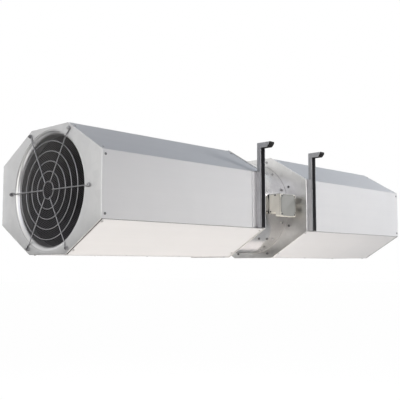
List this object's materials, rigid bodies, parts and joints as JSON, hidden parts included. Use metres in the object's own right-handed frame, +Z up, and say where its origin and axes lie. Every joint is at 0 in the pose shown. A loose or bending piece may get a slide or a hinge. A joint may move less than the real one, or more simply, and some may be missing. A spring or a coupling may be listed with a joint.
{
  "type": "jet fan",
  "caption": "Ceiling-hung car-park jet fan: a short drum with an axial impeller between flat-octagon silencers with wire guards and channel hangers.",
  "frame": {"origin": "on the fan's axis, midway between the two end plates", "axes": "+X along the fan's axis from the pictured inlet to the outlet, +Z up towards the ceiling, the terminal box on the -Y side"},
  "size_m": [1.5726, 0.586, 0.367],
  "materials": {
    "casing_sheet": "light grey coated sheet, satin",
    "galvanised_sheet": "galvanised sheet, satin",
    "black_liner": "black perforated liner, matt",
    "mineral_wool": "fibrous, matt",
    "guard_wire": "grey powder-coated wire",
    "hanger_steel": "grey powder-coated channel",
    "zinc_fasteners": "zinc-plated",
    "dark_fasteners": "dark zinc-plated",
    "motor_casting": "grey painted die casting",
    "bearing_steel": "ground steel",
    "winding_copper": "varnished copper and laminations",
    "impeller_alloy": "cast, satin",
    "cream_plastic": "moulded, light grain",
    "cover_plastic": "moulded, light grain",
    "black_rubber": "moulded, matt",
    "block_plastic": "moulded, matt"
  },
  "bodies": {
    "casing": {"inlet_upper_shell": "casing_sheet", "inlet_lower_tray": "casing_sheet", "inlet_end_plate": "galvanised_sheet", "inlet_nozzle": "galvanised_sheet", "inlet_liner": "black_liner", "inlet_wool": "mineral_wool", "inlet_fan_plate": "galvanised_sheet", "inlet_guard": "guard_wire", "inlet_drum_ring": "galvanised_sheet", "inlet_panel_screws": "zinc_fasteners", "outlet_upper_shell": "casing_sheet", "outlet_lower_tray": "casing_sheet", "outlet_end_plate": "galvanised_sheet", "outlet_nozzle": "galvanised_sheet", "outlet_liner": "black_liner", "outlet_wool": "mineral_wool", "outlet_fan_plate": "galvanised_sheet", "outlet_guard": "guard_wire", "outlet_drum_ring": "galvanised_sheet", "outlet_panel_screws": "zinc_fasteners", "guard_screws": "dark_fasteners", "plate_screws": "zinc_fasteners", "drum_screws": "zinc_fasteners", "drum": "galvanised_sheet", "motor_supports": "galvanised_sheet", "motor_screws": "zinc_fasteners", "motor_frame": "motor_casting", "drive_shield": "motor_casting", "rear_shield": "motor_casting", "drive_bearing": "bearing_steel", "rear_bearing": "bearing_steel", "stator_core": "winding_copper", "cable_duct": "black_rubber", "terminal_box": "cream_plastic", "box_gasket": "black_rubber", "box_lid": "cover_plastic", "box_screws": "dark_fasteners", "terminal_block": "block_plastic", "blanking_plugs": "black_rubber", "hanger_bolts": "dark_fasteners", "leg_inlet_near": "hanger_steel", "rail_inlet_near": "galvanised_sheet", "leg_inlet_far": "hanger_steel", "rail_inlet_far": "galvanised_sheet", "leg_outlet_near": "hanger_steel", "rail_outlet_near": "galvanised_sheet", "leg_outlet_far": "hanger_steel", "rail_outlet_far": "galvanised_sheet"},
    "rotor": {"motor_shaft": "bearing_steel", "rotor_core": "bearing_steel", "impeller_hub": "impeller_alloy", "hub_bolt": "zinc_fasteners", "nose_cap": "impeller_alloy", "blade_1": "impeller_alloy", "blade_2": "impeller_alloy", "blade_3": "impeller_alloy", "blade_4": "impeller_alloy", "blade_5": "impeller_alloy", "blade_6": "impeller_alloy"}
  },
  "joints": [
    {"name": "impeller_spin", "type": "hinge", "parent": "casing", "child": "rotor", "pos_m": [-0.055, 0, 0], "axis": [1, 0, 0], "continuous": true}
  ]
}
